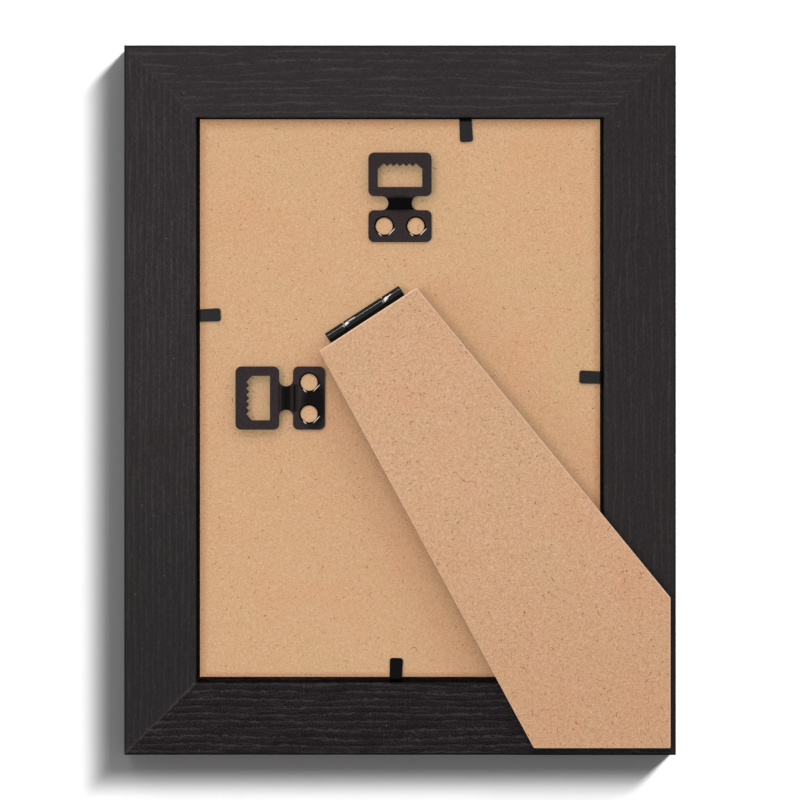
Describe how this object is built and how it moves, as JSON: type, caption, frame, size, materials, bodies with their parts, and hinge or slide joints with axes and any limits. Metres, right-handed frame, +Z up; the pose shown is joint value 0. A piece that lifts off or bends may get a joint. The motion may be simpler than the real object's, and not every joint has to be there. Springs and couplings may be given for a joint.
{
  "type": "easel back photo frame",
  "caption": "Rectangular photo frame with mitred black wood-grain rails, glazed front, hardboard back held by flex tabs, sawtooth hangers and a slanted easel leg that swings out.",
  "frame": {"origin": "middle of the outer face of the bottom rail, the face the frame stands on upright", "axes": "+Z up the frame's height, -Y the way the picture faces, +Y out of the back to the leg and the wall, +X to the left as seen from behind"},
  "size_m": [0.1778, 0.0173, 0.2286],
  "materials": {
    "black_wood_grain": "matt black wood-grain foil",
    "nail_steel": "bare steel strip",
    "glass": "clear float glass",
    "paper": "plain matt paper",
    "hardboard": "raw hardboard",
    "leg_hardboard": "raw hardboard with pale cut edges",
    "hanger_black": "satin black coating",
    "hinge_black": "gloss black coating",
    "pin_steel": "blackened drawn steel",
    "tab_black": "matt black coating"
  },
  "bodies": {
    "frame": {"rail_top": "black_wood_grain", "rail_bottom": "black_wood_grain", "rail_left": "black_wood_grain", "rail_right": "black_wood_grain", "corner_v_nails": "nail_steel", "glass": "glass", "photo_insert": "paper", "backing_board": "hardboard", "portrait_hanger": "hanger_black", "landscape_hanger": "hanger_black", "hanger_cores": "hardboard", "hinge_board_leaf": "hinge_black", "hinge_pin": "pin_steel", "hinge_rivets": "pin_steel", "tab_shank_top": "tab_black", "tab_shank_bottom": "tab_black", "tab_shank_left": "tab_black", "tab_shank_right": "tab_black"},
    "leg": {"easel_leg": "leg_hardboard", "hinge_leg_leaf": "hinge_black"},
    "tab_top": {"tab_flap_top": "tab_black"},
    "tab_bottom": {"tab_flap_bottom": "tab_black"},
    "tab_left": {"tab_flap_left": "tab_black"},
    "tab_right": {"tab_flap_right": "tab_black"}
  },
  "joints": [
    {"name": "leg_swing", "type": "hinge", "parent": "frame", "child": "leg", "pos_m": [0.0114, 0.007, 0.14195], "axis": [0.8387, 0, -0.5446], "range_deg": [0, 33]},
    {"name": "tab_top_bend", "type": "hinge", "parent": "frame", "child": "tab_top", "pos_m": [-0.0211, 0.00545, 0.2051], "axis": [1, 0, 0], "range_deg": [0, 90]},
    {"name": "tab_bottom_bend", "type": "hinge", "parent": "frame", "child": "tab_bottom", "pos_m": [0.0014, 0.00545, 0.0235], "axis": [-1, 0, 0], "range_deg": [0, 90]},
    {"name": "tab_left_bend", "type": "hinge", "parent": "frame", "child": "tab_left", "pos_m": [0.0654, 0.00545, 0.1415], "axis": [0, 0, -1], "range_deg": [0, 90]},
    {"name": "tab_right_bend", "type": "hinge", "parent": "frame", "child": "tab_right", "pos_m": [-0.0654, 0.00545, 0.1215], "axis": [0, 0, 1], "range_deg": [0, 90]}
  ]
}
